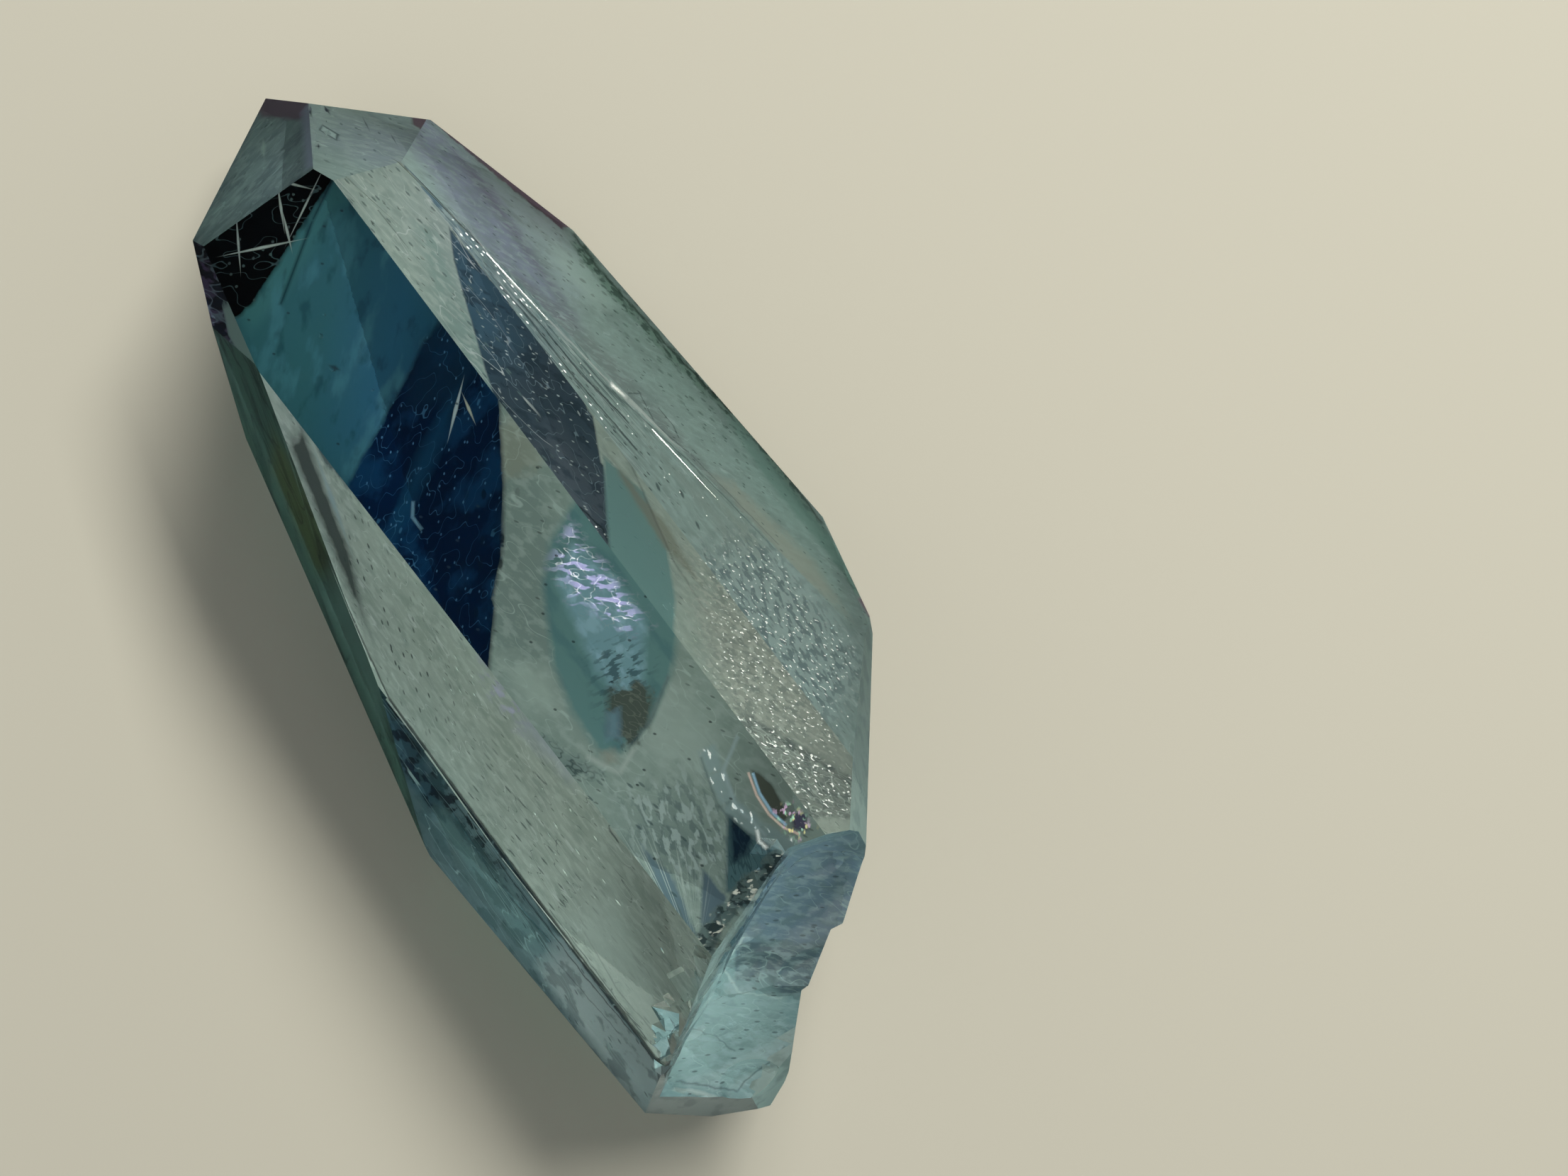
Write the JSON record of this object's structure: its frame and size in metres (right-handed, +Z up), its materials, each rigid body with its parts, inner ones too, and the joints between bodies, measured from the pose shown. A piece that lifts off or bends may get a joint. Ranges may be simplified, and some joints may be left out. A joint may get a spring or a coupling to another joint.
{
  "type": "aqua aura quartz crystal",
  "caption": "Single loose quartz point, clear with a thin aqua coating, faceted, broken at its base and lying on a prism face.",
  "frame": {"origin": "bottom centre of the bounding box, on the surface that the crystal rests on", "axes": "+X along the crystal's c axis from the tip to the broken base, +Y across it towards the striated side, +Z up from the resting face"},
  "size_m": [0.0318, 0.015, 0.0125],
  "materials": {
    "crystal": "clear natural quartz faces under a thin aqua metallic coating"
  },
  "bodies": {
    "root": {"crystal": "crystal"}
  },
  "joints": []
}
